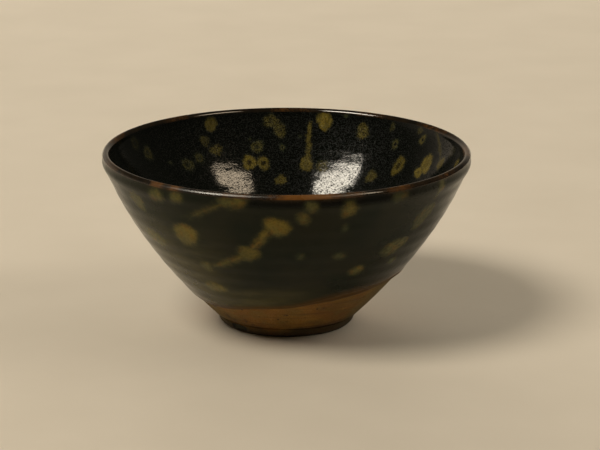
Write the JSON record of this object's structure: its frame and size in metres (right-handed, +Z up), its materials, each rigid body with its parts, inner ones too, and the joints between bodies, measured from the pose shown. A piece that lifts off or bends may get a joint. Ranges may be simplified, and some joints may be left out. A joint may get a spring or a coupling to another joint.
{
  "type": "tea bowl",
  "caption": "Small conical stoneware tea bowl on a low turned foot ring, with a dark glossy glaze that stops short of the foot and paler splashes let into it.",
  "frame": {"origin": "centre of the foot ring's standing plane, on the bowl's axis", "axes": "+Z up along the bowl's axis, -Y towards the side the picture shows, +X to that side's right"},
  "size_m": [0.117, 0.117, 0.056],
  "materials": {
    "bare_clay": "matte unglazed stoneware, orange-brown with dark specks",
    "inside_glaze": "glossy near-black glaze",
    "rim_glaze": "thin glossy glaze, brown where it ran off the lip",
    "outside_glaze": "satin dark brown-black glaze",
    "inside_splash": "glossy speckled olive-yellow glaze",
    "outside_splash": "satin olive glaze with soft edges"
  },
  "bodies": {
    "root": {"stoneware_body": "bare_clay", "inside_glaze": "inside_glaze", "rim_glaze": "rim_glaze", "outside_glaze": "outside_glaze", "inside_splash_01": "inside_splash", "inside_splash_02": "inside_splash", "inside_splash_03": "inside_splash", "inside_splash_04": "inside_splash", "inside_splash_05": "inside_splash", "inside_splash_06": "inside_splash", "inside_splash_07": "inside_splash", "inside_splash_08": "inside_splash", "inside_splash_09": "inside_splash", "inside_splash_10": "inside_splash", "inside_splash_11": "inside_splash", "inside_splash_12": "inside_splash", "inside_splash_13": "inside_splash", "inside_splash_14": "inside_splash", "inside_splash_15": "inside_splash", "inside_splash_16": "inside_splash", "inside_splash_17": "inside_splash", "inside_splash_18": "inside_splash", "inside_splash_19": "inside_splash", "inside_splash_20": "inside_splash", "inside_splash_21": "inside_splash", "outside_splash_01": "outside_splash", "outside_splash_02": "outside_splash", "outside_splash_03": "outside_splash", "outside_splash_04": "outside_splash", "outside_splash_05": "outside_splash", "outside_splash_06": "outside_splash", "outside_splash_07": "outside_splash", "outside_splash_08": "outside_splash", "outside_splash_09": "outside_splash", "outside_splash_10": "outside_splash", "outside_splash_11": "outside_splash", "outside_splash_12": "outside_splash", "outside_splash_13": "outside_splash", "outside_splash_14": "outside_splash", "outside_splash_15": "outside_splash", "outside_splash_16": "outside_splash", "outside_splash_17": "outside_splash", "outside_splash_18": "outside_splash", "outside_splash_19": "outside_splash", "outside_splash_20": "outside_splash", "outside_splash_21": "outside_splash", "outside_splash_22": "outside_splash"}
  },
  "joints": []
}
